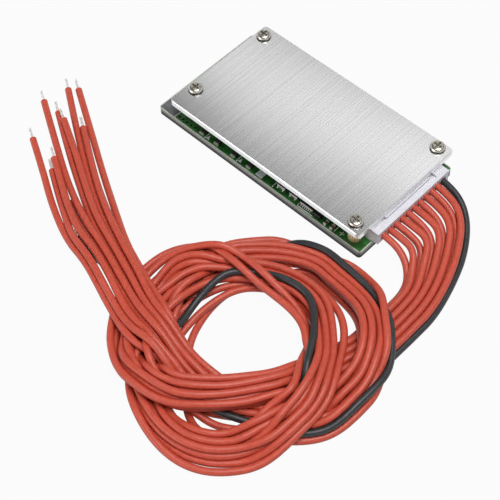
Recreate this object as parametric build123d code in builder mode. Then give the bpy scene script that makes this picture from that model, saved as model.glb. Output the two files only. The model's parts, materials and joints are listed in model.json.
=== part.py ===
"""Battery management board: a circuit board under a screwed-on aluminium heat spreader,
with an eleven-way wire connector and its coiled set of loose leads. Millimetres, +Z up."""

import math
import os

from build123d import *

# Board stack, from the floor up
board_length = 77.0
board_margin = 4.8
board_thickness = 1.6
board_corner = 1.0
sheet_thickness = 1.0
plate_gap = 5.2

# Heat spreader
plate_length = 71.1
plate_overhang = 0.6
plate_thickness = 1.8
plate_corner = 1.2
plate_edge_break = 0.2
plate_setback = 0.7

# Screws and spacers
screw_diameter = 2.5
screw_head_diameter = 4.4
screw_head_height = 1.25
screw_head_rim = 0.35
screw_reach = 4.0
recess_width = 0.55
recess_length = 2.5
recess_depth = 0.7
crown_margin = 0.1
crown_roundness = 1.2
spacer_diameter = 3.8
spacer_flutes = 16
flute_size = 0.42
spigot_diameter = 3.0
thread_clearance = 0.05
hole_clearance = 0.2
left_screw_inset = 2.75
right_screw_inset = 3.75
front_left_inset = 7.8
back_left_inset = 3.7
front_right_gap = 0.1
back_right_gap = 0.6

# Connector: header on the board, plug pushed into it
way_count = 11
way_pitch = 2.5
connector_margin = 4.8
plug_overhang = 1.9
header_depth = 9.0
header_setback = 0.3
header_clearance = 0.3
header_wall = 0.8
header_back_wall = 2.0
header_floor = 0.8
header_notch_width = 1.6
header_notch_depth = 2.4
pin_size = 0.64
pin_standoff = 1.0
pin_hole_clearance = 0.05
pin_fit = 0.03
plug_fit = 0.15
plug_mouth_gap = 0.05
cavity_size = 2.1
cavity_wall = 0.5
rim_drop = 0.1
rim_lift = 0.6
rib_thickness = 1.05
groove_end = 3.9
terminal_size = 1.6
terminal_clearance = 0.1
terminal_length = 3.4
terminal_inset = 0.6
barrel_size = 1.2
barrel_length = 2.4
pin_engagement = 2.8

# Power transistors under the heat spreader
mosfet_count = 6
mosfet_left_inset = 10.95
mosfet_right_gap = 5.75
mosfet_back_inset = 13.4
mosfet_length = 6.5
mosfet_depth = 6.1
mosfet_height = 2.3
mosfet_bevel = 0.35
tab_width = 5.3
tab_reach = 1.2
tab_thickness = 0.5
leg_width = 0.8
leg_reach = 2.6
leg_thickness = 0.5
leg_spread = 4.6
pad_margin = 1.0

# Balance resistors: a front row by the board edge, a second row behind it
resistor_length = 3.2
resistor_width = 1.6
resistor_height = 0.6
cap_length = 0.45
cap_proud = 0.03
front_row_shares = [0.173, 0.267, 0.372, 0.471]
back_row_count = 6
back_row_pitch = 5.6
back_row_gap = 6.0
front_row_inset = 0.8
back_row_inset = 7.0
sense_resistor_length = 6.3
sense_resistor_width = 3.2
sense_resistor_height = 0.7
sense_resistor_insets = [13.45, 20.95]
sense_resistor_gap = 0.8

# Small parts along the front edge, each at a share of the way from the power pad to the header
transistor_shares = [0.661, 0.735]
transistor_length = 2.9
transistor_depth = 1.3
transistor_height = 1.0
transistor_inset = 1.9
small_leg_width = 0.42
small_leg_reach = 0.6
small_leg_thickness = 0.16
small_leg_spread = 1.9
monitor_share = 0.818
monitor_length = 4.4
monitor_depth = 4.4
monitor_height = 1.0
monitor_inset = 1.6
monitor_leads = 6
monitor_lead_pitch = 0.65
monitor_lead_width = 0.24
driver_gap = 0.65
driver_length = 2.5
driver_depth = 3.0
driver_height = 1.1
driver_inset = 1.0
capacitor_shares = [0.939, 0.975]
capacitor_length = 1.6
capacitor_width = 0.85
capacitor_height = 0.8
capacitor_inset = 0.5

# Tinned pads on the board
power_pad_width = 5.6
power_pad_length = 11.0
pad_thickness = 0.08
pad_edge = 0.35
bridge_pad_share = 0.538
bridge_pad_width = 2.4
bridge_pad_length = 2.2
bridge_pad_inset = 0.7
via_count = 5
via_pitch = 1.57
via_left_inset = 7.25
via_inset = 1.35
via_diameter = 0.7

# Leads
lead_diameter = 2.0
strip_length = 4.2
strand_diameter = 1.0
arc_share = 0.45
layer_rise = 1.93
coil_centre = (36.4, -61.3)
coil_radius = 36.0
coil_height = 8.5
coil_slope = 2.6
coil_hole_centre = (31.1, -59.4)
coil_hole_long = 16.0
coil_hole_short = 12.0
coil_hole_turn = 43.6
entry_y = -29.0
entry_x = (52.4, 65.4)
entry_height = 4.4
entry_depth = 16.0
tail_turn = 161.0
tail_reach = 33.5
tail_first = -26.7
tail_pitch = 1.19
tail_margin = 1.5
tail_height = 6.1
tail_rise = 1.65
tail_depth = 20.0
tail_straight = 9.0

# Heights and edges worked out from the driving sizes
connector_length = (way_count - 1) * way_pitch + connector_margin
board_width = connector_length + 2 * board_margin
plate_width = board_width + plate_overhang
total_length = board_length + plug_overhang
board_left = -total_length / 2
board_right = board_left + board_length
board_front = -plate_width / 2
board_back = board_front + board_width
board_x = (board_left + board_right) / 2
board_y = (board_front + board_back) / 2
board_bottom = sheet_thickness
board_top = board_bottom + board_thickness
plate_bottom = board_top + plate_gap
plate_top = plate_bottom + plate_thickness
plate_right = board_right - plate_setback
plate_left = plate_right - plate_length
plate_x = (plate_left + plate_right) / 2
screw_points = [
    (plate_left + left_screw_inset, -plate_width / 2 + front_left_inset),
    (plate_left + left_screw_inset, plate_width / 2 - back_left_inset),
    (plate_right - right_screw_inset, -(connector_length + spacer_diameter) / 2 - front_right_gap),
    (plate_right - right_screw_inset, (connector_length + spacer_diameter) / 2 + back_right_gap),
]

# Connector places
header_height = plate_gap - header_clearance
header_mouth = board_right - header_setback
header_back = header_mouth - header_depth
header_top = board_top + header_height
cavity_floor = board_top + header_floor
plug_floor = cavity_floor + plug_fit
plug_ceiling = plug_floor + cavity_size + 2 * cavity_wall
way_z = (plug_floor + plug_ceiling) / 2
plug_front = header_back + header_back_wall + plug_fit
plug_rear = board_right + plug_overhang
rim_front = header_mouth + plug_mouth_gap
rim_top = header_top - rim_drop
rim_bottom = board_top + rim_lift
pin_x = header_back - pin_standoff
pin_hole_diameter = pin_size * math.sqrt(2) + 2 * pin_hole_clearance
terminal_front = plug_front + terminal_inset
barrel_rear = terminal_front + terminal_length + barrel_length
way_y = [(index - (way_count - 1) / 2) * way_pitch for index in range(way_count)]

# Rows of parts on the board
mosfet_first_x = board_left + mosfet_left_inset
mosfet_pitch = (pin_x - mosfet_right_gap - mosfet_first_x) / (mosfet_count - 1)
mosfet_y = board_back - mosfet_back_inset
mosfet_front = mosfet_y - mosfet_depth / 2
mosfet_back = mosfet_y + mosfet_depth / 2
edge_start = board_left + pad_edge + power_pad_width
edge_span = header_back - edge_start
front_row_x = [edge_start + share * edge_span for share in front_row_shares]
back_row_x = max(screw_points[0][0] + spacer_diameter / 2, edge_start) + resistor_width / 2 + back_row_gap
sense_y = mosfet_back + tab_reach + sense_resistor_gap + sense_resistor_width / 2
monitor_x = edge_start + monitor_share * edge_span
driver_x = monitor_x + (monitor_length + driver_length) / 2 + driver_gap
via_first_x = board_left + via_left_inset
via_points = [(via_first_x + n * via_pitch, board_front + via_inset) for n in range(via_count)]

os.makedirs("parts", exist_ok=True)


def keep(piece, node):
    """Label a finished piece and write it as its own node."""
    piece.part.label = node
    export_step(piece.part, f"parts/{node}.step")


# Insulation sheet under the board
with BuildPart() as insulation_sheet:
    with BuildSketch():
        with Locations((board_x, board_y)):
            RectangleRounded(board_length, board_width, board_corner)
    extrude(amount=sheet_thickness)
keep(insulation_sheet, "insulation_sheet")

# Circuit board with the spacer, pin and via holes
with BuildPart() as circuit_board:
    with BuildSketch(Plane.XY.offset(board_bottom)):
        with Locations((board_x, board_y)):
            RectangleRounded(board_length, board_width, board_corner)
        with Locations(*screw_points):
            Circle(spigot_diameter / 2 + thread_clearance, mode=Mode.SUBTRACT)
        with Locations(*[(pin_x, y) for y in way_y]):
            Circle(pin_hole_diameter / 2, mode=Mode.SUBTRACT)
        with Locations(*via_points):
            Circle(via_diameter / 2, mode=Mode.SUBTRACT)
    extrude(amount=board_thickness)
keep(circuit_board, "circuit_board")

# Heat spreader: a plain plate with rounded corners, broken edges and four screw holes
with BuildPart() as heat_spreader:
    with BuildSketch(Plane.XY.offset(plate_bottom)):
        with Locations((plate_x, 0)):
            RectangleRounded(plate_length, plate_width, plate_corner)
    extrude(amount=plate_thickness)
    chamfer(heat_spreader.faces().sort_by(Axis.Z)[-1].edges(), plate_edge_break)
    with BuildSketch(Plane.XY.offset(plate_bottom)):
        with Locations(*screw_points):
            Circle(screw_diameter / 2 + hole_clearance)
    extrude(amount=plate_thickness, mode=Mode.SUBTRACT)
keep(heat_spreader, "heat_spreader")

# Fluted brass spacer, drawn once at the origin: spigot in the board, blind bore for the screw
with BuildPart() as spacer:
    with BuildSketch(Plane.XY.offset(board_top)):
        Circle(spacer_diameter / 2)
        with PolarLocations(spacer_diameter / 2, spacer_flutes):
            Rectangle(flute_size, flute_size, rotation=45, mode=Mode.SUBTRACT)
    extrude(amount=plate_gap)
    with BuildSketch(Plane.XY.offset(board_bottom)):
        Circle(spigot_diameter / 2)
    extrude(amount=board_thickness)
    with BuildSketch(Plane.XY.offset(plate_bottom)):
        Circle(screw_diameter / 2 + thread_clearance)
    extrude(amount=-(screw_reach + hole_clearance), mode=Mode.SUBTRACT)

with BuildPart() as spacers:
    with Locations(*screw_points):
        add(spacer.part)
keep(spacers, "spacers")

# Cross-recess pan screw, drawn once at the origin
head_radius = screw_head_diameter / 2
crown_radius = recess_length / 2 + crown_margin
with BuildPart() as screw:
    with BuildSketch(Plane.XZ):
        with BuildLine():
            Line((0, plate_top), (head_radius, plate_top))
            Line((head_radius, plate_top), (head_radius, plate_top + screw_head_rim))
            RadiusArc(
                (head_radius, plate_top + screw_head_rim),
                (crown_radius, plate_top + screw_head_height),
                -(head_radius - crown_radius) * crown_roundness,
            )
            Line((crown_radius, plate_top + screw_head_height), (0, plate_top + screw_head_height))
            Line((0, plate_top + screw_head_height), (0, plate_top))
        make_face()
    revolve(axis=Axis.Z)
    with BuildSketch(Plane.XY.offset(plate_top)):
        Circle(screw_diameter / 2)
    extrude(amount=-(plate_thickness + screw_reach))
    with BuildSketch(Plane.XY.offset(plate_top + screw_head_height)):
        Rectangle(recess_length, recess_width)
        Rectangle(recess_width, recess_length)
    extrude(amount=-recess_depth, mode=Mode.SUBTRACT)

with BuildPart() as plate_screws:
    with Locations(*screw_points):
        add(screw.part)
keep(plate_screws, "plate_screws")

# Connector header: shroud open towards the plug, keyed by two notches in its roof
with BuildPart() as connector_header:
    with BuildSketch(Plane.YZ.offset(header_back)):
        with Locations((0, board_top)):
            Rectangle(connector_length, header_height, align=(Align.CENTER, Align.MIN))
    extrude(amount=header_depth)
    with BuildSketch(Plane.YZ.offset(header_back + header_back_wall)):
        with Locations((0, cavity_floor)):
            Rectangle(
                connector_length - 2 * header_wall,
                plug_ceiling + plug_fit - cavity_floor,
                align=(Align.CENTER, Align.MIN),
            )
    extrude(amount=header_depth - header_back_wall, mode=Mode.SUBTRACT)
    with BuildSketch(Plane.YZ.offset(header_back)):
        with Locations(*[(y, way_z) for y in way_y]):
            Rectangle(pin_size + 2 * pin_fit, pin_size + 2 * pin_fit)
    extrude(amount=header_back_wall, mode=Mode.SUBTRACT)
    with BuildSketch(Plane.XY.offset(plug_ceiling)):
        with Locations((header_mouth, way_y[1]), (header_mouth, way_y[-2])):
            Rectangle(2 * header_notch_depth, header_notch_width)
    extrude(amount=header_top - plug_ceiling, mode=Mode.SUBTRACT)
keep(connector_header, "connector_header")

# Right-angle pins: through the header's back wall, then down into the board
with BuildPart() as header_pins:
    for y in way_y:
        with BuildSketch(Plane.XZ.offset(-y - pin_size / 2)):
            with BuildLine():
                Polyline(
                    (pin_x - pin_size / 2, board_bottom),
                    (pin_x + pin_size / 2, board_bottom),
                    (pin_x + pin_size / 2, way_z - pin_size / 2),
                    (terminal_front + pin_engagement, way_z - pin_size / 2),
                    (terminal_front + pin_engagement, way_z + pin_size / 2),
                    (pin_x - pin_size / 2, way_z + pin_size / 2),
                    close=True,
                )
            make_face()
        extrude(amount=pin_size)
keep(header_pins, "header_pins")

# Plug: a tongue in the header, a rim outside it with a groove in its roof, eleven wire ways
with BuildPart() as plug_housing:
    with BuildSketch(Plane.YZ.offset(plug_front)):
        with Locations((0, plug_floor)):
            Rectangle(
                connector_length - 2 * (header_wall + plug_fit),
                plug_ceiling - plug_floor,
                align=(Align.CENTER, Align.MIN),
            )
    extrude(amount=rim_front - plug_front)
    with BuildSketch(Plane.YZ.offset(rim_front)):
        with Locations((0, rim_bottom)):
            Rectangle(connector_length, rim_top - rim_bottom, align=(Align.CENTER, Align.MIN))
    extrude(amount=plug_rear - rim_front)
    with BuildSketch(Plane.YZ.offset(rim_front)):
        with Locations((0, rim_top)):
            Rectangle(
                connector_length - 2 * groove_end,
                rim_top - plug_ceiling,
                align=(Align.CENTER, Align.MAX),
            )
    extrude(amount=plug_rear - rim_front - rib_thickness, mode=Mode.SUBTRACT)
    with BuildSketch(Plane.YZ.offset(plug_front)):
        with Locations(*[(y, way_z) for y in way_y]):
            Rectangle(cavity_size, cavity_size)
    extrude(amount=plug_rear - plug_front, mode=Mode.SUBTRACT)
keep(plug_housing, "plug_housing")

# Crimped terminals in the plug: a square socket for the pin and a crimp barrel on the lead
socket_bore = pin_size + 2 * terminal_clearance
with BuildPart() as crimp_terminals:
    for y in way_y:
        with BuildSketch(Plane.YZ.offset(terminal_front)):
            with Locations((y, way_z)):
                Rectangle(terminal_size, terminal_size)
                Rectangle(socket_bore, socket_bore, mode=Mode.SUBTRACT)
        extrude(amount=terminal_length)
        with BuildSketch(Plane.YZ.offset(terminal_front + terminal_length)):
            with Locations((y, way_z)):
                Rectangle(barrel_size, barrel_size)
        extrude(amount=barrel_length)
keep(crimp_terminals, "crimp_terminals")

# Power transistors: moulded body, soldered tab behind, two gull-wing legs in front
for index in range(mosfet_count):
    x = mosfet_first_x + index * mosfet_pitch
    with BuildPart() as mosfet:
        with BuildSketch(Plane.XY.offset(board_top)):
            with Locations((x, mosfet_y)):
                Rectangle(mosfet_length, mosfet_depth)
        extrude(amount=mosfet_height)
        chamfer(mosfet.faces().sort_by(Axis.Z)[-1].edges(), mosfet_bevel)
        with BuildSketch(Plane.XY.offset(board_top)):
            with Locations((x, mosfet_back)):
                Rectangle(tab_width, tab_reach, align=(Align.CENTER, Align.MIN))
        extrude(amount=tab_thickness)
        for side in (-1, 1):
            with BuildSketch(Plane.YZ.offset(x + side * leg_spread / 2 - leg_width / 2)):
                with BuildLine():
                    Polyline(
                        (mosfet_front, board_top + 2 * leg_thickness),
                        (mosfet_front - leg_reach / 2, board_top + 2 * leg_thickness),
                        (mosfet_front - leg_reach / 2 - leg_thickness, board_top + leg_thickness),
                        (mosfet_front - leg_reach, board_top + leg_thickness),
                        (mosfet_front - leg_reach, board_top),
                        (mosfet_front - leg_reach / 2, board_top),
                        (mosfet_front - leg_reach / 2 + leg_thickness, board_top + leg_thickness),
                        (mosfet_front, board_top + leg_thickness),
                        close=True,
                    )
                make_face()
            extrude(amount=leg_width)
    keep(mosfet, f"mosfet_{index + 1}")

# Thermal pad between the transistors and the heat spreader
mosfet_span = (mosfet_count - 1) * mosfet_pitch
with BuildPart() as thermal_pad:
    with BuildSketch(Plane.XY.offset(board_top + mosfet_height)):
        with Locations((mosfet_first_x + mosfet_span / 2, mosfet_y)):
            Rectangle(mosfet_span + mosfet_length + 2 * pad_margin, mosfet_depth + 2 * pad_margin)
    extrude(amount=plate_gap - mosfet_height)
keep(thermal_pad, "thermal_pad")

# Balance resistors: ceramic chips with wrapped end caps standing a little proud
front_row_y = board_front + front_row_inset + resistor_length / 2
back_row_y = board_front + back_row_inset + resistor_length / 2
resistor_points = [(x, front_row_y) for x in front_row_x]
resistor_points += [(back_row_x + n * back_row_pitch, back_row_y) for n in range(back_row_count)]
for index, (x, y) in enumerate(resistor_points):
    with BuildPart() as balance_resistor:
        with BuildSketch(Plane.XY.offset(board_top)):
            with Locations((x, y)):
                Rectangle(resistor_width, resistor_length)
        extrude(amount=resistor_height)
        with BuildSketch(Plane.XY.offset(board_top)):
            for side in (-1, 1):
                with Locations((x, y + side * (resistor_length - cap_length) / 2)):
                    Rectangle(resistor_width + 2 * cap_proud, cap_length)
        extrude(amount=resistor_height + cap_proud)
    keep(balance_resistor, f"balance_resistor_{index + 1:02d}")

# Current-sense resistors behind the power transistors
for index, inset in enumerate(sense_resistor_insets):
    with BuildPart() as sense_resistor:
        with BuildSketch(Plane.XY.offset(board_top)):
            with Locations((board_left + inset, sense_y)):
                Rectangle(sense_resistor_length, sense_resistor_width)
        extrude(amount=sense_resistor_height)
        chamfer(sense_resistor.faces().sort_by(Axis.Z)[-1].edges(), cap_proud)
    keep(sense_resistor, f"sense_resistor_{index + 1}")


def leg_outline(root_y, direction, top):
    """Side view of one small leg, from a package side down to the board."""
    bend_y = root_y + direction * small_leg_reach / 2
    inner_y = bend_y - direction * small_leg_thickness
    toe_y = root_y + direction * small_leg_reach
    foot_top = board_top + small_leg_thickness
    return [
        (root_y, top),
        (bend_y, top),
        (bend_y, foot_top),
        (toe_y, foot_top),
        (toe_y, board_top),
        (inner_y, board_top),
        (inner_y, top - small_leg_thickness),
        (root_y, top - small_leg_thickness),
    ]


# Small three-leg transistors: two legs to the front edge, one behind
transistor_y = board_front + transistor_inset + transistor_depth / 2
transistor_legs = [(-small_leg_spread / 2, -1), (small_leg_spread / 2, -1), (0, 1)]
shoulder_z = board_top + transistor_height / 2
for index, share in enumerate(transistor_shares):
    x = edge_start + share * edge_span
    with BuildPart() as transistor:
        with BuildSketch(Plane.XY.offset(board_top)):
            with Locations((x, transistor_y)):
                Rectangle(transistor_length, transistor_depth)
        extrude(amount=transistor_height)
        for leg_x, side in transistor_legs:
            outline = leg_outline(transistor_y + side * transistor_depth / 2, side, shoulder_z)
            with BuildSketch(Plane.YZ.offset(x + leg_x - small_leg_width / 2)):
                with BuildLine():
                    Polyline(*outline, close=True)
                make_face()
            extrude(amount=small_leg_width)
    keep(transistor, f"transistor_{index + 1}")

# Cell monitor chip with a row of fine leads on two sides
monitor_y = board_front + monitor_inset + monitor_depth / 2
with BuildPart() as monitor_chip:
    with BuildSketch(Plane.XY.offset(board_top)):
        with Locations((monitor_x, monitor_y)):
            Rectangle(monitor_length, monitor_depth)
    extrude(amount=monitor_height)
    for n in range(monitor_leads):
        x = monitor_x + (n - (monitor_leads - 1) / 2) * monitor_lead_pitch
        for side in (-1, 1):
            outline = leg_outline(monitor_y + side * monitor_depth / 2, side, board_top + monitor_height / 2)
            with BuildSketch(Plane.YZ.offset(x - monitor_lead_width / 2)):
                with BuildLine():
                    Polyline(*outline, close=True)
                make_face()
            extrude(amount=monitor_lead_width)
keep(monitor_chip, "monitor_chip")

# Driver chip, a plain moulded block with bevelled top edges
driver_y = board_front + driver_inset + driver_depth / 2
with BuildPart() as driver_chip:
    with BuildSketch(Plane.XY.offset(board_top)):
        with Locations((driver_x, driver_y)):
            Rectangle(driver_length, driver_depth)
    extrude(amount=driver_height)
    chamfer(driver_chip.faces().sort_by(Axis.Z)[-1].edges(), mosfet_bevel / 2)
keep(driver_chip, "driver_chip")

# Chip capacitors by the front edge
capacitor_y = board_front + capacitor_inset + capacitor_length / 2
for index, share in enumerate(capacitor_shares):
    x = edge_start + share * edge_span
    with BuildPart() as chip_capacitor:
        with BuildSketch(Plane.XY.offset(board_top)):
            with Locations((x, capacitor_y)):
                Rectangle(capacitor_width, capacitor_length)
        extrude(amount=capacitor_height)
        chamfer(chip_capacitor.edges().filter_by(Axis.Z), cap_proud)
    keep(chip_capacitor, f"chip_capacitor_{index + 1}")

# Tinned copper: two power pads by the left edge and a bare bridge pad at the front
with BuildPart() as tinned_pads:
    with BuildSketch(Plane.XY.offset(board_top)):
        with Locations((board_left + pad_edge, board_front + pad_edge)):
            Rectangle(power_pad_width, power_pad_length, align=(Align.MIN, Align.MIN))
        with Locations((board_left + pad_edge, board_back - pad_edge)):
            Rectangle(power_pad_width, power_pad_length, align=(Align.MIN, Align.MAX))
        with Locations((edge_start + bridge_pad_share * edge_span, board_front + bridge_pad_inset)):
            Rectangle(bridge_pad_width, bridge_pad_length, align=(Align.CENTER, Align.MIN))
        with Locations(*screw_points):
            Circle(spacer_diameter / 2 + hole_clearance, mode=Mode.SUBTRACT)
    extrude(amount=pad_thickness)
keep(tinned_pads, "tinned_pads")


# Leads: places along the loose stretches, chosen by hand, first for the two outermost of the fan
front_exit = [
    (43.0, -12.5, 5.06), (48.0, -13.6, 2.9), (51.6, -16.8, 1.3), (53.3, -20.6, 1.0), (53.7, -25.0, 1.0),
]
back_exit = [
    (43.5, 12.5, 5.06), (51.5, 8.6, 2.7), (58.0, -1.0, 1.2), (61.8, -12.0, 1.0), (64.0, -21.6, 1.0),
]
even_share = [index / (way_count - 1) for index in range(way_count)]
near_share = [0.0, 0.13, 0.275, 0.37, 0.45, 0.56, 0.63, 0.73, 0.83, 0.9, 1.0]
bend_share = [0.0, 0.06, 0.17, 0.25, 0.34, 0.47, 0.54, 0.66, 0.79, 0.87, 1.0]
exit_share = [even_share, near_share, bend_share, even_share, even_share]
exit_lift = [0.0, 1.0, 1.0, 1.0, 1.0]

# Tail points of each lead past its straight start, the last one where the insulation ends
tail_routes = [
    [(-20.0, -55.2, 3.8), (-34.0, -47.4, 1.5), (-49.0, -38.6, 1.0), (-63.0, -30.6, 1.0)],
    [(-20.6, -57.4, 5.4), (-30.6, -52.2, 3.3), (-40.6, -46.2, 2.0), (-50.4, -40.0, 1.8)],
    [(-21.2, -58.9, 3.6), (-35.0, -51.8, 1.4), (-50.0, -42.6, 1.0), (-65.4, -32.6, 1.0)],
    [(-21.4, -60.6, 5.4), (-33.5, -54.2, 3.3), (-45.0, -47.8, 2.8), (-56.1, -42.2, 2.8)],
    [(-21.8, -62.0, 3.7), (-34.5, -55.4, 1.4), (-47.8, -48.2, 1.0), (-60.7, -40.6, 1.0)],
    [(-22.4, -63.6, 5.3), (-37.0, -57.4, 2.3), (-53.0, -48.6, 1.0), (-67.1, -40.6, 1.0)],
    [(-20.0, -65.6, 4.0), (-27.0, -62.9, 2.0), (-33.4, -60.5, 1.0)],
    [(-22.0, -66.9, 5.6), (-31.0, -62.7, 4.1), (-39.5, -58.0, 3.1), (-47.2, -53.7, 2.9)],
    [(-21.8, -69.3, 5.5), (-30.6, -64.6, 2.3), (-38.6, -60.3, 1.0), (-45.6, -56.2, 1.0)],
    [(-23.0, -70.4, 3.4), (-36.0, -64.6, 1.5), (-48.0, -57.8, 1.0), (-58.5, -52.3, 1.0)],
    [(-15.4, -69.7, 5.0), (-21.0, -67.7, 3.0)],
]
tail_lane = [10, 9, 8, 7, 6, 5, 4, 3, 1, 0, 2]


def between(first, last, share):
    """The point a share of the way from the first to the last."""
    return tuple(a + (b - a) * share for a, b in zip(first, last))


def exit_points(index):
    """Route of one lead from its crimp to the coil."""
    points = [(barrel_rear, way_y[index], way_z)]
    for near, far, shares, lift in zip(front_exit, back_exit, exit_share, exit_lift):
        x, y, z = between(near, far, shares[index])
        points.append((x, y, z + index % 2 * lift * layer_rise))
    last_x, last_y, last_z = points[-1]
    points.append((last_x, entry_y, last_z))
    return points


heading = (math.cos(math.radians(tail_turn)), math.sin(math.radians(tail_turn)))
sideways = (math.sin(math.radians(tail_turn)), -math.cos(math.radians(tail_turn)))


def tail_place(reach, lane):
    """A place beside the coil, so far along the tails' heading and across it."""
    across = tail_first + lane * tail_pitch
    return (
        coil_centre[0] + heading[0] * reach + sideways[0] * across,
        coil_centre[1] + heading[1] * reach + sideways[1] * across,
    )


def tail_points(index):
    """Route of one lead from the coil to the end of its insulation."""
    lane = tail_lane[index]
    height = tail_height + lane % 2 * tail_rise
    straight = tail_straight if len(tail_routes[index]) > 2 else tail_straight / 2
    start = (*tail_place(tail_reach, lane), height)
    turn = (*tail_place(tail_reach + straight, lane), height)
    return [start, turn, *tail_routes[index]]


def bend_radii(points):
    """Arc radii as large as the two runs beside each corner allow."""
    radii = []
    for before, corner, after in zip(points, points[1:], points[2:]):
        run_in = Vector(*corner) - Vector(*before)
        run_out = Vector(*after) - Vector(*corner)
        turn = math.radians(run_in.get_angle(run_out))
        radii.append(arc_share * min(run_in.length, run_out.length) / math.tan(turn / 2))
    return radii


def lead_tube(points, node):
    """One loose stretch of a lead as a round tube along straight runs and tangent arcs."""
    radii = bend_radii(points)
    with BuildPart() as tube:
        with BuildLine() as route:
            FilletPolyline(*points, radius=radii)
        with BuildSketch(Plane(origin=points[0], z_dir=Vector(*points[1]) - Vector(*points[0]))):
            Circle(lead_diameter / 2)
        sweep(path=route.wires()[0])
    keep(tube, node)
    length = route.wires()[0].length
    section = math.pi * lead_diameter**2 / 4
    fill = tube.part.volume / (section * length)
    print(node, f"length {length:.1f}", f"fill {fill:.4f}", "radii", [round(radius, 1) for radius in radii])


tips = []
for index in range(way_count):
    lead_tube(exit_points(index), f"lead_{index + 1:02d}_exit")
    tail = tail_points(index)
    lead_tube(tail, f"lead_{index + 1:02d}_tail")
    tips.append((Vector(*tail[-1]), (Vector(*tail[-1]) - Vector(*tail[-2])).normalized()))

# Stripped, tinned strands at the lead ends
with BuildPart() as stripped_ends:
    for end, along in tips:
        with BuildSketch(Plane(origin=end, z_dir=along)):
            Circle(strand_diameter / 2)
        extrude(amount=strip_length)
keep(stripped_ends, "stripped_ends")

# Coil: the outer shape of the wound leads, with a shoulder where they come in and one where they leave
tail_middle = tail_first + tail_pitch * (way_count - 1) / 2
tail_corner = (
    coil_centre[0] + heading[0] * tail_reach + sideways[0] * tail_middle,
    coil_centre[1] + heading[1] * tail_reach + sideways[1] * tail_middle,
)
with BuildPart() as lead_coil:
    with BuildSketch():
        with Locations(coil_centre):
            Circle(coil_radius)
        with Locations(Location((*coil_hole_centre, 0), (0, 0, coil_hole_turn))):
            Ellipse(coil_hole_long, coil_hole_short, mode=Mode.SUBTRACT)
    extrude(amount=coil_height)
    chamfer(lead_coil.faces().sort_by(Axis.Z)[-1].edges(), coil_slope)
    with BuildSketch():
        with Locations((sum(entry_x) / 2, entry_y)):
            Rectangle(entry_x[1] - entry_x[0], entry_depth, align=(Align.CENTER, Align.MAX))
    extrude(amount=entry_height)
    with BuildSketch():
        with Locations(Location((*tail_corner, 0), (0, 0, tail_turn))):
            Rectangle(
                tail_depth,
                tail_pitch * (way_count - 1) + lead_diameter + tail_margin,
                align=(Align.MAX, Align.CENTER),
            )
    extrude(amount=coil_height)
keep(lead_coil, "lead_coil")
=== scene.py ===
"""Battery management board with its coiled leads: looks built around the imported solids.
Lengths on the object are written in millimetres and turned into metres by mm(). The room, which is
its floor and lamps, is written in metres."""

import json
import math
import random

import bpy
from mathutils import Matrix, Vector
from mathutils.kdtree import KDTree


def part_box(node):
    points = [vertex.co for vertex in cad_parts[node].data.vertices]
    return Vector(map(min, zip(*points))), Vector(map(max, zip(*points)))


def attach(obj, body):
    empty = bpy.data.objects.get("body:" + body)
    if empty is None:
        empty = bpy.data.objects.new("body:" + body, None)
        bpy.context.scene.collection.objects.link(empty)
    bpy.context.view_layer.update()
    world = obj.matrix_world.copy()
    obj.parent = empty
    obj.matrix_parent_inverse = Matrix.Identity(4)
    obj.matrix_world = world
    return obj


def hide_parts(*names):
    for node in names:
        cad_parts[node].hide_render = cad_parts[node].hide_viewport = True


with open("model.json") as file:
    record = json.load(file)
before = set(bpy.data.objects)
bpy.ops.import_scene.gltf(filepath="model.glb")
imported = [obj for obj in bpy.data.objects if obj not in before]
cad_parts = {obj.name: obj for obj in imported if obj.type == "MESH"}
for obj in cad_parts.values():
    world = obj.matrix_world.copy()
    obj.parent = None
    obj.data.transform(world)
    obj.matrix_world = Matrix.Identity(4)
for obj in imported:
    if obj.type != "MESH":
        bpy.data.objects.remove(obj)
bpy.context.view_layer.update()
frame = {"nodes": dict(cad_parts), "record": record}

MILLIMETRE = 0.001
nodes = frame["nodes"]
scene = bpy.context.scene


def mm(*values):
    """Millimetres as a point in metres."""
    return Vector(value * MILLIMETRE for value in values)


def place_object(name, data):
    """An object with its data, linked into the scene."""
    made = bpy.data.objects.new(name, data)
    scene.collection.objects.link(made)
    return made


# Camera, at the photograph's viewing angle
view_azimuth = math.radians(45.62)
view_elevation = math.radians(54.83)
view_roll = math.radians(-2.4)
view_target = mm(18.88, -42.45, 9.6)
view_distance = 327.7 * MILLIMETRE
sensor_width = 36.0
focal_in_frames = 2.516
near_clip = 10 * MILLIMETRE


def make_camera():
    """The photograph's camera: turned round the target, then rolled about its own axis."""
    level = math.cos(view_elevation)
    back = Vector((
        math.sin(view_azimuth) * level,
        -math.cos(view_azimuth) * level,
        math.sin(view_elevation),
    ))
    right = Vector((math.cos(view_azimuth), math.sin(view_azimuth), 0))
    up = back.cross(right)
    rolled_right = right * math.cos(view_roll) + up * math.sin(view_roll)
    rolled_up = up * math.cos(view_roll) - right * math.sin(view_roll)
    data = bpy.data.cameras.new("camera")
    data.sensor_width = sensor_width
    data.lens = focal_in_frames * sensor_width
    data.clip_start = near_clip
    camera = place_object("camera", data)
    turn = Matrix((rolled_right, rolled_up, back)).transposed()
    camera.matrix_world = Matrix.Translation(view_target + back * view_distance) @ turn.to_4x4()
    scene.camera = camera


make_camera()

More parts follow.
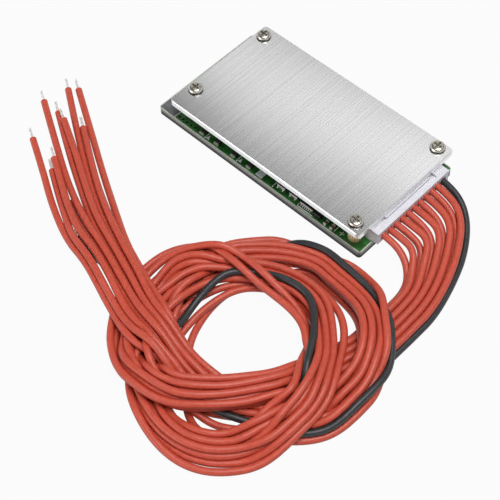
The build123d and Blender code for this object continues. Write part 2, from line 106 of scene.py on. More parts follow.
# Leads: the route's places repeated from the part, in millimetres
way_count = 11
black_lead = way_count - 1
lead_diameter = 2.0
lead_radius = lead_diameter / 2
barrel_rear = 36.8
way_pitch = 2.5
way_z = 5.1
layer_rise = 1.93
entry_y = -29.0
front_exit = [
    (43.0, -12.5, 5.06), (48.0, -13.6, 2.9), (51.6, -16.8, 1.3), (53.3, -20.6, 1.0), (53.7, -25.0, 1.0),
]
back_exit = [
    (43.5, 12.5, 5.06), (51.5, 8.6, 2.7), (58.0, -1.0, 1.2), (61.8, -12.0, 1.0), (64.0, -21.6, 1.0),
]
even_share = [index / (way_count - 1) for index in range(way_count)]
near_share = [0.0, 0.13, 0.275, 0.37, 0.45, 0.56, 0.63, 0.73, 0.83, 0.9, 1.0]
bend_share = [0.0, 0.06, 0.17, 0.25, 0.34, 0.47, 0.54, 0.66, 0.79, 0.87, 1.0]
exit_share = [even_share, near_share, bend_share, even_share, even_share]
exit_lift = [0.0, 1.0, 1.0, 1.0, 1.0]

coil_centre = (36.4, -61.3)
tail_turn = math.radians(161.0)
tail_reach = 33.5
tail_straight = 9.0
tail_first = -26.7
tail_pitch = 1.19
tail_height = 6.1
tail_rise = 1.65
black_tail_shift = 2.9
black_tail_drop = 1.9
tail_lane = [10, 9, 8, 7, 6, 5, 4, 3, 1, 0, 2]
tail_routes = [
    [(-20.0, -55.2, 3.8), (-34.0, -47.4, 1.5), (-49.0, -38.6, 1.0), (-63.0, -30.6, 1.0)],
    [(-20.6, -57.4, 5.4), (-30.6, -52.2, 3.3), (-40.6, -46.2, 2.0), (-50.4, -40.0, 1.8)],
    [(-21.2, -58.9, 3.6), (-35.0, -51.8, 1.4), (-50.0, -42.6, 1.0), (-65.4, -32.6, 1.0)],
    [(-21.4, -60.6, 5.4), (-33.5, -54.2, 3.3), (-45.0, -47.8, 2.8), (-56.1, -42.2, 2.8)],
    [(-21.8, -62.0, 3.7), (-34.5, -55.4, 1.4), (-47.8, -48.2, 1.0), (-60.7, -40.6, 1.0)],
    [(-22.4, -63.6, 5.3), (-37.0, -57.4, 2.3), (-53.0, -48.6, 1.0), (-67.1, -40.6, 1.0)],
    [(-20.0, -65.6, 4.0), (-27.0, -62.9, 2.0), (-33.4, -60.5, 1.0)],
    [(-22.0, -66.9, 5.6), (-31.0, -62.7, 4.1), (-39.5, -58.0, 3.1), (-47.2, -53.7, 2.9)],
    [(-21.8, -69.3, 5.5), (-30.6, -64.6, 2.3), (-38.6, -60.3, 1.0), (-45.6, -56.2, 1.0)],
    [(-23.0, -70.4, 3.4), (-36.0, -64.6, 1.5), (-48.0, -57.8, 1.0), (-58.5, -52.3, 1.0)],
    [(-15.4, -69.7, 5.0), (-21.0, -67.7, 3.0)],
]

# The coil's stations, in a floor frame turned to face the camera: across the picture and away from it.
# Each has its innermost and outermost lead, the heading there in degrees, the height under the bundle,
# how the leads lie on each other, and their order from the inside out. A lead that strays is placed or
# raised by itself.
coil_axis = math.radians(43.65)
natural = list(range(way_count))
nearly_out = [0, 1, 2, 3, 4, 5, 6, 7, 8, 10, 9]
inside = [0, 1, 2, 10, 3, 4, 5, 6, 7, 8, 9]
inmost = [0, 10, 1, 2, 3, 4, 5, 6, 7, 8, 9]
crossing = [9, 8, 0, 1, 2, 10, 3, 4, 5, 6, 7]
crossed = [9, 8, 0, 10, 1, 2, 3, 4, 5, 6, 7]
overtaken = [0, 1, 2, 3, 4, 5, 6, 7, 9, 10, 8]
leaving = [0, 1, 2, 3, 4, 5, 6, 7, 10, 8, 9]


def station(inner, outer, turn, lift, lay, order, placed=None, raised=None):
    """One place where the whole bundle passes."""
    return {
        "inner": inner,
        "outer": outer,
        "heading": turn,
        "lift": lift,
        "lay": lay,
        "order": order,
        "placed": placed or {},
        "raised": raised or {},
    }


coil_stations = [
    station((8.6, -67.6), (8.1, -78.8), 208, 0.0, "pair", natural),
    station((-9.0, -78.2), (-10.5, -84.6), 192, 2.0, "stack", inside),
    station((-24.0, -80.8), (-26.0, -87.3), 180, 3.8, "stack", inside),
    station((-35.5, -78.6), (-43.6, -81.0), 137, 3.4, "stack", inside, raised={9: -1.6}),
    station((-38.5, -72.5), (-50.8, -64.6), 90, 1.8, "pair", inmost, raised={9: 1.2, 8: -0.8}),
    station((-32.5, -63.0), (-46.5, -48.0), 50, 2.0, "pair", inmost, raised={9: 1.5, 8: 1.0}),
    station(
        (-11.0, -51.6), (-31.0, -41.0), 348, 4.4, "pair", inside,
        raised={9: 1.6, 8: 0.6, 1: -1.6, 2: 1.6},
    ),
    station(
        (-6.8, -56.0), (2.3, -53.5), 315, 4.4, "pair", crossing,
        placed={9: (-15.3, -51.2), 8: (-13.6, -48.9)},
        raised={9: 2.8, 8: 1.2, 10: 0.4, 1: -1.6, 2: 1.6},
    ),
    station(
        (-1.4, -69.5), (5.2, -66.8), 270, 4.2, "pair", crossed,
        placed={7: (7.8, -66.8)}, raised={9: 1.6, 8: -0.8, 10: 1.6, 7: 1.6},
    ),
    station(
        (-2.2, -75.8), (4.0, -76.6), 252, 4.2, "pair", crossed,
        placed={9: (0.2, -75.9), 8: (1.0, -76.0), 7: (6.1, -75.4), 10: (-0.9, -75.4)},
        raised={9: -0.2, 8: -3.0, 10: 0.8, 7: 1.6},
    ),
    station(
        (-6.3, -83.0), (-2.8, -91.2), 225, 4.0, "pair", crossed,
        placed={9: (-5.3, -85.4), 8: (-4.9, -86.2), 7: (-1.8, -91.9)},
        raised={9: -1.6, 8: -1.6, 10: -3.6},
    ),
    station(
        (-23.5, -94.2), (-23.0, -100.0), 180, 0.1, "stack", crossed,
        placed={6: (-23.0, -100.2), 7: (-23.0, -102.6)}, raised={7: -2.9},
    ),
    station(
        (-38.7, -77.0), (-45.2, -77.0), 90, 0.0, "stack", crossed,
        placed={0: (-31.5, -71.5)},
    ),
    station(
        (-17.0, -43.0), (-13.0, -36.6), 0, 0.0, "stack", nearly_out,
        placed={0: (-9.0, -47.0)}, raised={9: -1.0},
    ),
    station(
        (-1.0, -44.6), (3.4, -40.6), 338, 0.6, "stack", natural,
        placed={10: (2.6, -40.6)}, raised={10: 0.8},
    ),
    station(
        (5.6, -51.0), (10.0, -47.6), 315, 0.8, "stack", overtaken,
        placed={9: (8.4, -49.0), 10: (9.7, -47.8), 8: (12.8, -45.6)}, raised={10: 3.8, 8: -1.6},
    ),
    station(
        (12.9, -67.7), (18.9, -66.1), 270, 3.2, "stack", natural,
        placed={9: (17.2, -66.6), 8: (18.0, -67.2)}, raised={9: 0.4, 8: 2.6, 10: -1.4},
    ),
    station((8.0, -78.2), (12.6, -85.8), 225, 1.6, "stack", nearly_out, raised={9: -2.2, 10: 3.4}),
    station((-4.0, -83.3), (-2.5, -94.5), 180, 0.0, "pair", nearly_out),
    station((-15.0, -81.3), (-16.5, -89.2), 172, 0.0, "pair", nearly_out, placed={9: (-18.0, -92.4)}),
    station((-30.0, -72.6), (-39.6, -74.6), 130, 3.4, "pair", leaving, raised={10: -1.4}),
]

# How the leads lie at a station, and how finely the turns from one station to the next are drawn
stack_rows = (0, 2, 1)
stack_rise = 1.6
bed_rise = 1.6
straying = 0.25
wander = random.Random(7)
bend_pull = 1.1
sample_step = 1.2
route_step = 3

# How the turns settle: in each round a place sinks a little and yields to what presses on it
settle_rounds = 120
sinking = 0.008
yielding = 0.45
sideways = 0.5
smoothing = 24
own_reach = 8

# How round the leads are drawn
lead_roundness = 4
spline_steps = 6


def between(first, last, share):
    """The point a share of the way from the first to the last."""
    return tuple(a + (b - a) * share for a, b in zip(first, last))


def way_y(index):
    """Where one lead's way stands across the plug."""
    return (index - (way_count - 1) / 2) * way_pitch


def exit_points(index):
    """One lead from its crimp to the coil."""
    points = [(barrel_rear, way_y(index), way_z)]
    for near, far, shares, lift in zip(front_exit, back_exit, exit_share, exit_lift):
        x, y, z = between(near, far, shares[index])
        points.append((x, y, z + index % 2 * lift * layer_rise))
    points.append((points[-1][0], entry_y, points[-1][2]))
    return points


def tail_points(index):
    """One lead from the coil to the end of its insulation."""
    lane = tail_lane[index]
    across = tail_first + lane * tail_pitch
    height = tail_height + lane % 2 * tail_rise
    if index == black_lead:
        across += black_tail_shift
        height -= black_tail_drop
    straight = tail_straight if len(tail_routes[index]) > 2 else tail_straight / 2
    points = []
    for reach in (tail_reach, tail_reach + straight):
        x = coil_centre[0] + math.cos(tail_turn) * reach + math.sin(tail_turn) * across
        y = coil_centre[1] + math.sin(tail_turn) * reach - math.cos(tail_turn) * across
        points.append((x, y, height))
    return points + tail_routes[index]


def to_coil(x, y):
    """A place on the floor, in the coil's own frame."""
    return Vector((
        x * math.cos(coil_axis) + y * math.sin(coil_axis),
        y * math.cos(coil_axis) - x * math.sin(coil_axis),
    ))


def from_coil(place):
    """A place in the coil's own frame, back on the floor."""
    return Vector((
        place.x * math.cos(coil_axis) - place.y * math.sin(coil_axis),
        place.x * math.sin(coil_axis) + place.y * math.cos(coil_axis),
    ))


def heading(degrees):
    """A direction in the coil's frame."""
    return Vector((math.cos(math.radians(degrees)), math.sin(math.radians(degrees))))


def place_in(stop, index):
    """Where one lead passes a station: its place, its heading and its height."""
    lane = stop["order"].index(index)
    spot = stop["placed"].get(index) or between(stop["inner"], stop["outer"], lane / (way_count - 1))
    if stop["lay"] == "stack":
        row = stack_rows[lane % len(stack_rows)] * stack_rise
    else:
        row = lane % 2 * bed_rise
    stray = Vector((wander.uniform(-straying, straying), wander.uniform(-straying, straying)))
    height = lead_radius + stop["lift"] + row + stop["raised"].get(index, 0.0)
    return Vector(spot) + stray, heading(stop["heading"]), height


def arc(start, end):
    """Places from one station towards the next, on a curve that leaves and arrives by their headings."""
    spot, way, height = start
    next_spot, next_way, next_height = end
    pull = (next_spot - spot).length * bend_pull
    steps = math.ceil(pull / sample_step)
    for step in range(steps):
        share = step / steps
        arrived = share * share * (3 - 2 * share)
        leaving_pull = share * (1 - share) ** 2 * pull
        coming_pull = share * share * (1 - share) * pull
        place = spot + (next_spot - spot) * arrived + way * leaving_pull - next_way * coming_pull
        floor = from_coil(place)
        yield Vector((floor.x, floor.y, height + (next_height - height) * arrived))


def coil_points(index, entry, leave):
    """One lead's turns, from the end of its way in to the start of its tail."""
    passes = [(to_coil(*entry[:2]), heading(270 - math.degrees(coil_axis)), entry[2])]
    passes += [place_in(stop, index) for stop in coil_stations]
    passes.append((to_coil(*leave[:2]), heading(math.degrees(tail_turn - coil_axis)), leave[2]))
    points = []
    for start, end in zip(passes, passes[1:]):
        points += arc(start, end)
    return points


def in_steps(points):
    """A run of points with more of them between, a sample step apart."""
    places = []
    for start, end in zip(points, points[1:]):
        gap = Vector(end) - Vector(start)
        steps = math.ceil(gap.length / sample_step)
        places += [Vector(start) + gap * (step / steps) for step in range(steps)]
    return places


def push_on(lines, owners, tree, lead, step):
    """How far the leads that press on one place move it: apart, and upwards more than sideways."""
    place = lines[lead][step]
    push = Vector((0, 0, -sinking))
    for other, number, gap in tree.find_range(place, lead_diameter):
        other_lead, other_step = owners[number]
        beside_itself = other_lead == lead and abs(other_step - step) < own_reach
        if beside_itself or gap == 0:
            continue
        away = (place - other) * ((lead_diameter - gap) / gap * yielding)
        push += Vector((away.x * sideways, away.y * sideways, away.z))
    return push


def settle(lines, turns):
    """Let the turns press each other apart, smoothly along each lead, until they lie on each other."""
    for _ in range(settle_rounds):
        owners = [(lead, step) for lead, line in enumerate(lines) for step in range(len(line))]
        tree = KDTree(len(owners))
        for number, (lead, step) in enumerate(owners):
            tree.insert(lines[lead][step], number)
        tree.balance()
        for lead, (first, last) in enumerate(turns):
            pushes = [push_on(lines, owners, tree, lead, step) for step in range(first, last)]
            for _ in range(smoothing):
                held = [Vector((0, 0, 0))] + pushes + [Vector((0, 0, 0))]
                pushes = [(a + b * 2 + c) / 4 for a, b, c in zip(held, held[1:], held[2:])]
            for step, push in zip(range(first, last), pushes):
                place = lines[lead][step] + push
                place.z = max(place.z, lead_radius)
                lines[lead][step] = place


def lead_routes():
    """All leads' points in millimetres: the way in, the settled turns and the tail."""
    lines = []
    turns = []
    for index in range(way_count):
        way_in = exit_points(index)
        tail = tail_points(index)
        before = in_steps(way_in)
        coiled = coil_points(index, way_in[-1], tail[0])
        turns.append((len(before), len(before) + len(coiled)))
        lines.append(before + coiled + in_steps(tail))
    settle(lines, turns)
    routes = []
    for index, (first, last) in enumerate(turns):
        routes.append(exit_points(index)[:-1] + lines[index][first:last:route_step] + tail_points(index))
    return routes


def round_curve(name, radius, roundness):
    """An empty curve with a round section, closed at its ends."""
    curve = bpy.data.curves.new(name, "CURVE")
    curve.dimensions = "3D"
    curve.bevel_depth = radius * MILLIMETRE
    curve.bevel_resolution = roundness
    curve.use_fill_caps = True
    return curve


def cord_object(name, points):
    """A smooth round lead along one open spline."""
    curve = round_curve(name, lead_radius, lead_roundness)
    spline = curve.splines.new("NURBS")
    spline.points.add(len(points) - 1)
    for point, place in zip(spline.points, points):
        point.co = (*mm(*place), 1)
    spline.order_u = 3
    spline.use_endpoint_u = True
    spline.resolution_u = spline_steps
    return place_object(name, curve)


# Materials: the sizes of what is only painted on, in millimetres, and shares of full colour or metal
bump_strength = 0.5
fine_grain = 2500
body_dimming = 0.7
end_dimming = 0.8
end_metal = 0.25
painted_rim_dimming = 0.2
mask_margin = 0.3
shaded_side_start = 0.1
under_edge = 0.6
bright_pad_x = -10.0
cap_length = 0.55
resistor_length = 3.2
transistor_depth = 1.3
monitor_depth = 4.4
screw_painted_rim = 0.5
plate_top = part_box("heat_spreader")[1][2] / MILLIMETRE
stroke_scale = 120
stroke_stretch = (22, 0.1, 1)
stroke_tilt = 0.03


def new_material(name, roughness, metallic=0.0):
    """An empty node material with its shader set."""
    material = bpy.data.materials.new(name)
    material.use_nodes = True
    shader = material.node_tree.nodes["Principled BSDF"]
    shader.inputs["Roughness"].default_value = roughness
    shader.inputs["Metallic"].default_value = metallic
    return material, shader


def add_node(material, kind, **settings):
    """A node with its plain settings and named inputs."""
    node = material.node_tree.nodes.new(kind)
    for key, value in settings.items():
        if key in node.inputs:
            node.inputs[key].default_value = value
        else:
            setattr(node, key, value)
    return node


def join(material, out_socket, in_socket):
    """A link between two sockets."""
    material.node_tree.links.new(out_socket, in_socket)


def noise(material, scale, detail=3.0, stretch=(1, 1, 1)):
    """Noise in the object's own metres, stretched along the axes."""
    place = add_node(material, "ShaderNodeTexCoord")
    mapping = add_node(material, "ShaderNodeMapping")
    mapping.inputs["Scale"].default_value = stretch
    texture = add_node(material, "ShaderNodeTexNoise")
    texture.inputs["Scale"].default_value = scale
    texture.inputs["Detail"].default_value = detail
    join(material, place.outputs["Object"], mapping.inputs["Vector"])
    join(material, mapping.outputs["Vector"], texture.inputs["Vector"])
    return texture.outputs["Fac"]


def blend_colours(material, factor, first, second, low=0.35, high=0.65):
    """A colour that goes from the first to the second as the factor rises from low to high."""
    ramp = add_node(material, "ShaderNodeValToRGB")
    ramp.color_ramp.elements[0].position = low
    ramp.color_ramp.elements[0].color = (*first, 1)
    ramp.color_ramp.elements[1].position = high
    ramp.color_ramp.elements[1].color = (*second, 1)
    join(material, factor, ramp.inputs["Fac"])
    return ramp.outputs["Color"]


def add_bump(material, shader, height, distance):
    """Relief from a height, in millimetres."""
    bump = add_node(material, "ShaderNodeBump", Strength=bump_strength)
    bump.inputs["Distance"].default_value = distance * MILLIMETRE
    join(material, height, bump.inputs["Height"])
    join(material, bump.outputs["Normal"], shader.inputs["Normal"])


def mottled(name, first, second, roughness, scale, metallic=0.0, relief=0.02):
    """A surface of two close colours in fine grain, with a slight relief."""
    material, shader = new_material(name, roughness, metallic)
    grain = noise(material, scale)
    join(material, blend_colours(material, grain, first, second), shader.inputs["Base Color"])
    add_bump(material, shader, grain, relief)
    return material


def axis_of(material, kind, axis):
    """One axis of the place on a piece: Generated runs from 0 to 1 over its box, Object is in metres."""
    place = add_node(material, "ShaderNodeTexCoord")
    parts = add_node(material, "ShaderNodeSeparateXYZ")
    join(material, place.outputs[kind], parts.inputs["Vector"])
    return parts.outputs[axis]


def reckon(material, operation, first, second):
    """The result of one sum, each side a socket or a number."""
    node = add_node(material, "ShaderNodeMath", operation=operation)
    for socket, value in zip(node.inputs, (first, second)):
        if isinstance(value, float):
            socket.default_value = value
        else:
            join(material, value, socket)
    return node.outputs["Value"]


def choose(material, mask, first, second):
    """The first colour where the mask is 0 and the second where it is 1."""
    mix = add_node(material, "ShaderNodeMix", data_type="RGBA")
    colour_sockets = [socket for socket in mix.inputs if socket.type == "RGBA"]
    join(material, mask, mix.inputs["Factor"])
    join(material, first, colour_sockets[0])
    join(material, second, colour_sockets[1])
    return [socket for socket in mix.outputs if socket.type == "RGBA"][0]


def dimmed(colour, share):
    """A colour brought down to a share."""
    return [value * share for value in colour]


def ended(name, body, end, body_share, roughness=0.42):
    """A moulded or ceramic body with tinned legs or caps beyond its middle share of the piece's depth."""
    material, shader = new_material(name, roughness)
    grain = noise(material, fine_grain)
    from_middle = reckon(material, "SUBTRACT", axis_of(material, "Generated", "Y"), 0.5)
    mask = reckon(material, "GREATER_THAN", reckon(material, "ABSOLUTE", from_middle, 0.0), body_share / 2)
    body_colour = blend_colours(material, grain, dimmed(body, body_dimming), body)
    end_colour = blend_colours(material, grain, dimmed(end, end_dimming), end)
    join(material, choose(material, mask, body_colour, end_colour), shader.inputs["Base Color"])
    join(material, reckon(material, "MULTIPLY", mask, end_metal), shader.inputs["Metallic"])
    add_bump(material, shader, grain, 0.02)
    return material


def from_edges(material, axis, low, high):
    """How far a place is inside two opposite edges, in metres."""
    place = axis_of(material, "Object", axis)
    from_low = reckon(material, "SUBTRACT", place, low)
    from_high = reckon(material, "SUBTRACT", high, place)
    return reckon(material, "MINIMUM", from_low, from_high)


def solder_mask(node):
    """Green lacquer over dim traces, stopped short of the edges. There the laminate's side is painted darker
    than its top rim as painted shade, and it is nearly black low down.
    """
    low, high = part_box(node)
    material, shader = new_material("green_board", 0.32)
    from_ends = from_edges(material, "X", low[0], high[0])
    from_sides = from_edges(material, "Y", low[1], high[1])
    from_rim = reckon(material, "MINIMUM", from_ends, from_sides)
    bare = reckon(material, "LESS_THAN", from_rim, mask_margin * MILLIMETRE)
    grain = noise(material, 420, detail=1.0)
    lacquer = blend_colours(material, grain, (0.016, 0.1, 0.017), (0.03, 0.165, 0.033), 0.45, 0.55)
    fibre = noise(material, fine_grain)
    rim = blend_colours(material, fibre, (0.46, 0.48, 0.42), (0.56, 0.58, 0.52))
    # The laminate's side is painted darker than its top rim: painted shade.
    side = blend_colours(material, fibre, (0.25, 0.25, 0.21), (0.33, 0.33, 0.28))
    z = axis_of(material, "Object", "Z")
    below = reckon(material, "LESS_THAN", z, high[2] - shaded_side_start * MILLIMETRE)
    # Near the bottom the edge is painted nearly black.
    under = reckon(material, "LESS_THAN", z, low[2] + under_edge * MILLIMETRE)
    dark_bottom = blend_colours(material, fibre, (0.02, 0.02, 0.02), (0.04, 0.04, 0.035))
    laminate = choose(material, under, choose(material, below, rim, side), dark_bottom)
    join(material, choose(material, bare, lacquer, laminate), shader.inputs["Base Color"])
    add_bump(material, shader, grain, 0.02)
    return material


def solder_pads():
    """Dull grey power pads, and a brighter bare pad past the middle of the board."""
    material, shader = new_material("solder_pads", 0.4, metallic=0.25)
    grain = noise(material, 900)
    bright = reckon(material, "GREATER_THAN", axis_of(material, "Object", "X"), bright_pad_x * MILLIMETRE)
    dull = blend_colours(material, grain, (0.12, 0.124, 0.136), (0.18, 0.184, 0.196))
    clean = blend_colours(material, grain, (0.86, 0.92, 0.95), (0.92, 0.96, 0.98))
    join(material, choose(material, bright, dull, clean), shader.inputs["Base Color"])
    add_bump(material, shader, grain, 0.03)
    return material


def brushed_metal(name, first, second, roughness, brushing):
    """Bright metal with fine strokes along Y, which spread its gloss along X."""
    material, shader = new_material(name, roughness, metallic=1.0)
    shader.inputs["Anisotropic"].default_value = brushing
    fine_strokes = noise(material, stroke_scale, stretch=stroke_stretch)
    join(material, blend_colours(material, fine_strokes, first, second), shader.inputs["Base Color"])
    surface = add_node(material, "ShaderNodeNewGeometry")
    across = add_node(material, "ShaderNodeVectorMath", operation="CROSS_PRODUCT")
    across.inputs[1].default_value = (0, 1, stroke_tilt)
    join(material, surface.outputs["Normal"], across.inputs[0])
    join(material, across.outputs["Vector"], shader.inputs["Tangent"])
    return material


def with_painted_dark_rim(name, first, second, roughness, painted_rim_top):
    """Plated metal with a painted dark reflection below one height, in millimetres, standing in for the dark
    surroundings that the lower flank of the screw heads would mirror.
    """
    material, shader = new_material(name, roughness, metallic=1.0)
    grain = noise(material, 1500)
    low = reckon(material, "LESS_THAN", axis_of(material, "Object", "Z"), painted_rim_top * MILLIMETRE)
    bright = blend_colours(material, grain, first, second)
    dark = blend_colours(material, grain, dimmed(first, painted_rim_dimming), dimmed(second, painted_rim_dimming))
    join(material, choose(material, low, bright, dark), shader.inputs["Base Color"])
    add_bump(material, shader, grain, 0.02)
    return material


def depth_of(node):
    """How far a node reaches along Y, in millimetres."""
    low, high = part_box(node)
    return (high[1] - low[1]) / MILLIMETRE


red_insulation = mottled("red_insulation", (0.5, 0.066, 0.035), (0.57, 0.08, 0.044), 0.44, 900, relief=0.004)
black_insulation = mottled(
    "black_insulation", (0.015, 0.016, 0.018), (0.026, 0.027, 0.03), 0.42, 900, relief=0.006
)
tin = mottled("tin", (0.62, 0.62, 0.6), (0.8, 0.8, 0.79), 0.3, 1500, metallic=1.0)
bare_tin = mottled("bare_tin", (0.8, 0.79, 0.77), (0.93, 0.92, 0.9), 0.35, 1500, metallic=0.6)
white_nylon = mottled("white_nylon", (0.68, 0.67, 0.72), (0.74, 0.73, 0.78), 0.45, 700)
black_mould = mottled("black_mould", (0.012, 0.012, 0.013), (0.022, 0.022, 0.023), 0.5, fine_grain)
black_sheet = mottled("black_sheet", (0.012, 0.012, 0.012), (0.03, 0.03, 0.03), 0.7, 1800, relief=0.05)
brass = mottled("brass", (0.95, 0.79, 0.44), (1.0, 0.9, 0.58), 0.3, 1200, metallic=0.2)
# Screw heads: their lower flank is painted dark, a painted reflection of dark surroundings.
nickel = with_painted_dark_rim("nickel", (0.44, 0.42, 0.37), (0.6, 0.58, 0.52), 0.24, plate_top + screw_painted_rim)
grey_pad = mottled("grey_pad", (0.2, 0.23, 0.27), (0.25, 0.28, 0.32), 0.8, 1200)
chip_ceramic = ended(
    "chip_ceramic", (0.05, 0.047, 0.043), (0.62, 0.59, 0.54), 1 - 2 * cap_length / resistor_length, 0.35
)
tan_ceramic = ended("tan_ceramic", (0.24, 0.15, 0.08), (0.95, 0.93, 0.9), 0.6)
mould_colour = (0.02, 0.02, 0.021)
leg_colour = (0.96, 0.95, 0.93)
transistor_mould = ended(
    "transistor_mould", mould_colour, leg_colour, transistor_depth / depth_of("transistor_1"), 0.5
)
monitor_mould = ended(
    "monitor_mould", mould_colour, leg_colour, monitor_depth / depth_of("monitor_chip"), 0.5
)
green_board = solder_mask("circuit_board")
brushed_plate = brushed_metal("brushed_plate", (0.7, 0.7, 0.705), (0.81, 0.81, 0.815), 0.2, 0.95)

by_slot = {
    "red_insulation": red_insulation,
    "black_insulation": black_insulation,
    "tin": tin,
    "white_nylon": white_nylon,
    "black_mould": black_mould,
    "black_sheet": black_sheet,
    "brass": brass,
    "nickel": nickel,
    "grey_pad": grey_pad,
    "chip_ceramic": chip_ceramic,
    "tan_ceramic": tan_ceramic,
    "green_board": green_board,
    "brushed_plate": brushed_plate,
}


def give(piece, material):
    """One material all over a piece."""
    piece.data.materials.clear()
    piece.data.materials.append(material)


for entry in frame["record"]["subparts"]:
    give(nodes[entry["node"]], by_slot[entry["material_slot"]])
give(nodes["tinned_pads"], solder_pads())
for node in ("transistor_1", "transistor_2"):
    give(nodes[node], transistor_mould)
give(nodes["monitor_chip"], monitor_mould)


# Print on the board: plain strokes beside the small parts, each with its two ends, in millimetres
print_rise = 0.012
stroke_width = 0.22
strokes = [
    ((-33.25, -19.5), (-33.25, -17.0)),
    ((-33.25, -17.0), (-29.5, -17.0)),
    ((-21.3, -19.4), (-21.3, -16.2)),
    ((-8.7, -19.4), (-8.7, -16.2)),
    ((5.0, -19.3), (5.0, -17.4)),
    ((14.5, -19.4), (14.5, -16.0)),
    ((14.5, -19.4), (20.0, -19.4)),
    ((26.0, -19.0), (26.0, -16.2)),
    ((27.75, -19.0), (27.75, -16.2)),
    ((29.2, -18.3), (30.5, -18.3)),
    ((29.85, -18.95), (29.85, -17.65)),
]
arrows = [(-20.45, -19.2), (-7.85, -19.1)]
arrow_width = 1.2
arrow_height = 1.5


def make_print():
    """The white strokes and arrowheads, as one thin raised piece on the board."""
    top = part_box("circuit_board")[1][2] / MILLIMETRE
    half = stroke_width / 2
    outlines = []
    for (x, y), (far_x, far_y) in strokes:
        left, right = x - half, far_x + half
        front, back = y - half, far_y + half
        outlines.append([(left, front), (right, front), (right, back), (left, back)])
    for x, y in arrows:
        outlines.append([(x - arrow_width / 2, y), (x + arrow_width / 2, y), (x, y + arrow_height)])
    points = []
    faces = []
    for outline in outlines:
        first = len(points)
        count = len(outline)
        points += [mm(x, y, top) for x, y in outline]
        points += [mm(x, y, top + print_rise) for x, y in outline]
        faces.append([first + count + n for n in range(count)])
        faces.append([first + count - 1 - n for n in range(count)])
        for n in range(count):
            after = (n + 1) % count
            faces.append([first + n, first + after, first + count + after, first + count + n])
    mesh = bpy.data.meshes.new("board_print")
    mesh.from_pydata(points, [], faces)
    piece = place_object("board_print", mesh)
    give(piece, mottled("white_ink", (0.9, 0.91, 0.89), (0.97, 0.98, 0.96), 0.6, fine_grain))
    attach(piece, "root")


make_print()


# Leads


strip_length = 4.2
strand_count = 3
strand_radius = 0.16
strand_roundness = 2
strand_spread = 0.26
strand_turns = 0.8
strand_steps = 10


def make_strands(index, route):
    """The bare twisted wires that stand out of one lead's end."""
    tip = Vector(route[-1])
    along = (tip - Vector(route[-2])).normalized()
    side = along.orthogonal().normalized()
    third = along.cross(side)
    curve = round_curve(f"bare_wires_{index + 1:02d}", strand_radius, strand_roundness)
    for strand in range(strand_count):
        spline = curve.splines.new("POLY")
        spline.points.add(strand_steps)
        for step, point in enumerate(spline.points):
            share = step / strand_steps
            angle = 2 * math.pi * (strand / strand_count + strand_turns * share)
            offset = (side * math.cos(angle) + third * math.sin(angle)) * strand_spread
            point.co = (*mm(*(tip + along * (share * strip_length) + offset)), 1)
    wires = place_object(curve.name, curve)
    give(wires, bare_tin)
    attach(wires, "root")
    if index == 0:
        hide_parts("stripped_ends")
    return wires


def make_leads():
    """The eleven leads, each one spline from its crimp to the end of its insulation."""
    for index, route in enumerate(lead_routes()):
        name = f"lead_{index + 1:02d}"
        lead = cord_object(name, route)
        slot = "black_insulation" if index == black_lead else "red_insulation"
        give(lead, by_slot[slot])
        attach(lead, "root")
        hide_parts(f"{name}_exit", f"{name}_tail")
        if index == 0:
            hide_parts("lead_coil")
        make_strands(index, route)


make_leads()


# Floor and light: the backdrop fades between two heights of view, each the sine of an angle above the floor
floor_half = 3.0
floor_whiteness = 0.95
soft_light = 0.2
backdrop_top = (0.3, 0.6)
backdrop_glow = 0.75


def seen_share(owner):
    """1 for what the camera sees, straight or in gloss or glass, and 0 for light that falls on things."""
    path = add_node(owner, "ShaderNodeLightPath")
    seen = reckon(owner, "MAXIMUM", path.outputs["Is Camera Ray"], path.outputs["Is Glossy Ray"])
    return reckon(owner, "MAXIMUM", seen, path.outputs["Is Transmission Ray"])


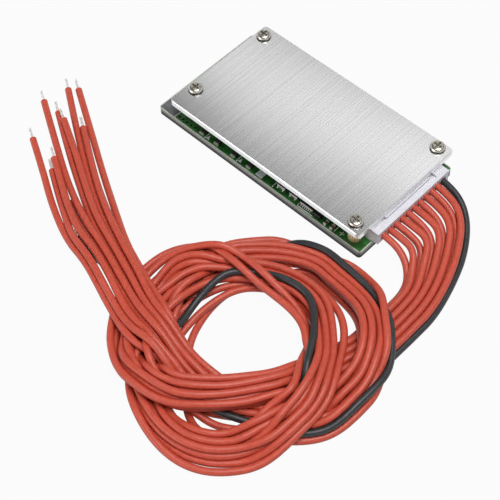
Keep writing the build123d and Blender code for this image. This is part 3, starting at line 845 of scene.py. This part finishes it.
def white_floor():
    """A pale floor that looks nearly white and still takes the object's soft shadow."""
    material, shader = new_material("floor", 0.9)
    pale = blend_colours(material, noise(material, 3), (0.3, 0.3, 0.3), (0.33, 0.33, 0.33))
    join(material, pale, shader.inputs["Base Color"])
    glow = add_node(material, "ShaderNodeEmission", Strength=1.0)
    mix = add_node(material, "ShaderNodeMixShader")
    join(material, reckon(material, "MULTIPLY", seen_share(material), floor_whiteness), mix.inputs["Fac"])
    join(material, shader.outputs["BSDF"], mix.inputs[1])
    join(material, glow.outputs["Emission"], mix.inputs[2])
    join(material, mix.outputs["Shader"], material.node_tree.nodes["Material Output"].inputs["Surface"])
    return material


def make_floor():
    """A wide plain pale floor."""
    mesh = bpy.data.meshes.new("floor")
    near, far = -floor_half, floor_half
    mesh.from_pydata([(near, near, 0), (far, near, 0), (far, far, 0), (near, far, 0)], [], [(0, 1, 2, 3)])
    floor = place_object("floor", mesh)
    give(floor, white_floor())


def make_world():
    """Soft white surroundings, with a pale backdrop low down that only shows and doesn't light."""
    world = bpy.data.worlds.new("world")
    scene.world = world
    world.use_nodes = True
    background = world.node_tree.nodes["Background"]
    background.inputs["Color"].default_value = (1, 1, 1, 1)
    fall = add_node(world, "ShaderNodeMapRange")
    fall.inputs["From Min"].default_value = backdrop_top[0]
    fall.inputs["From Max"].default_value = backdrop_top[1]
    fall.inputs["To Min"].default_value = backdrop_glow
    fall.inputs["To Max"].default_value = 0.0
    join(world, axis_of(world, "Generated", "Z"), fall.inputs["Value"])
    backdrop = reckon(world, "MULTIPLY", seen_share(world), fall.outputs["Result"])
    join(world, reckon(world, "ADD", backdrop, soft_light), background.inputs["Strength"])


def area_light(name, place, aim, width, height, power):
    """A soft rectangular light."""
    data = bpy.data.lights.new(name, "AREA")
    data.shape = "RECTANGLE"
    data.size = width
    data.size_y = height
    data.energy = power
    light = place_object(name, data)
    light.location = place
    light.rotation_mode = "QUATERNION"
    light.rotation_quaternion = (Vector(aim) - Vector(place)).to_track_quat("-Z", "Y")


make_floor()
make_world()
between_board_and_coil = (0.0, -0.04, 0.0)
area_light("key", (0.25, 0.0, 1.05), between_board_and_coil, width=0.6, height=0.6, power=10.0)
area_light("back_panel", (-0.086, 0.674, 0.928), (0.01, 0.0, 0.0), width=1.4, height=0.1, power=0.65)
area_light("front_fill", (-0.3, -0.98, 0.3), between_board_and_coil, width=0.7, height=0.5, power=3.4)

scene.view_settings.view_transform = "Standard"
